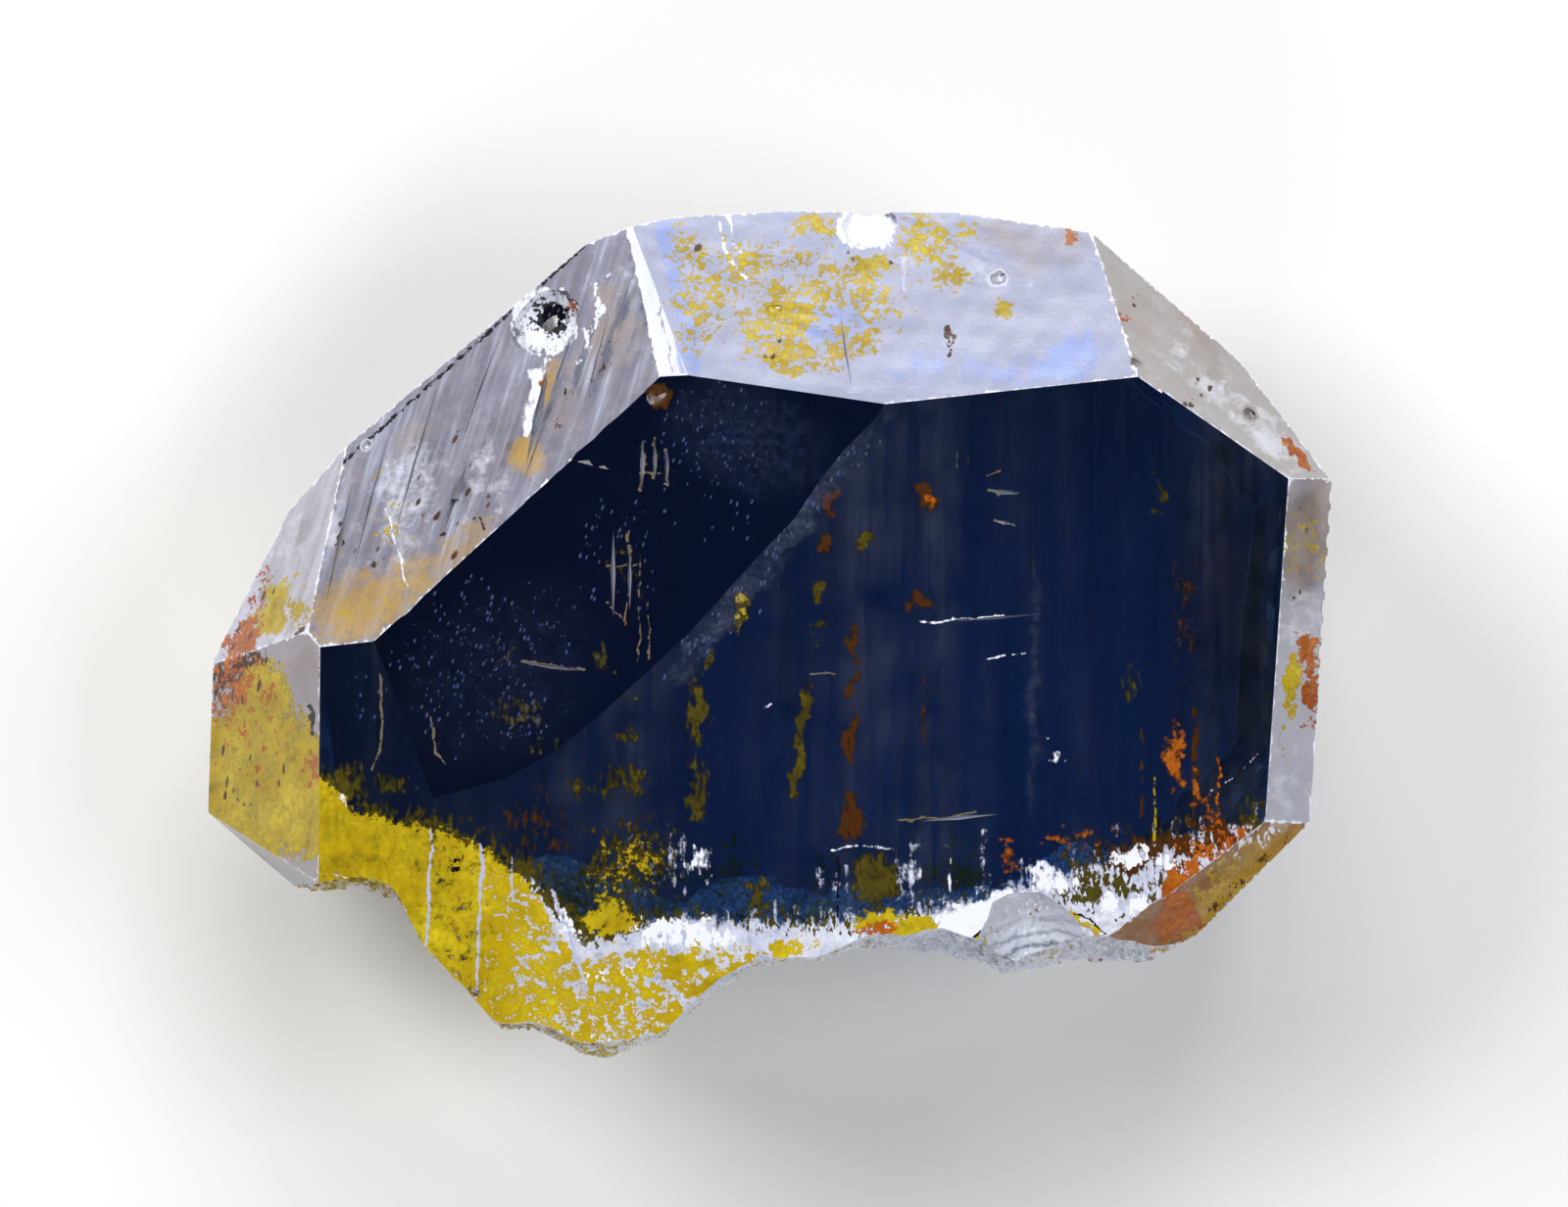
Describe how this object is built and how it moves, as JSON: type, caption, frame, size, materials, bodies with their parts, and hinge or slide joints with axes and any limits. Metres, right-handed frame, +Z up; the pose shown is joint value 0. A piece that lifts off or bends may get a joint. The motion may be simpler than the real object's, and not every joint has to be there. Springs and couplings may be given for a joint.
{
  "type": "quartz crystal",
  "caption": "Flat-lying clear quartz crystal with large flat faces, narrow bevels, a tilted facet, iron stains, pits and a broken toothed lower end.",
  "frame": {"origin": "centre of the crystal's box, on the surface that it lies on, at the level of the flat back face", "axes": "+X along the crystal's longest extent, +Y from the broken lower end to the whole upper end, +Z up, out of the largest face, along the shortest extent"},
  "size_m": [0.0412, 0.0312, 0.0144],
  "materials": {
    "quartz": "clear, glossy, dark blue-grey where thick, iron-stained at the broken end"
  },
  "bodies": {
    "root": {"quartz_crystal": "quartz"}
  },
  "joints": []
}
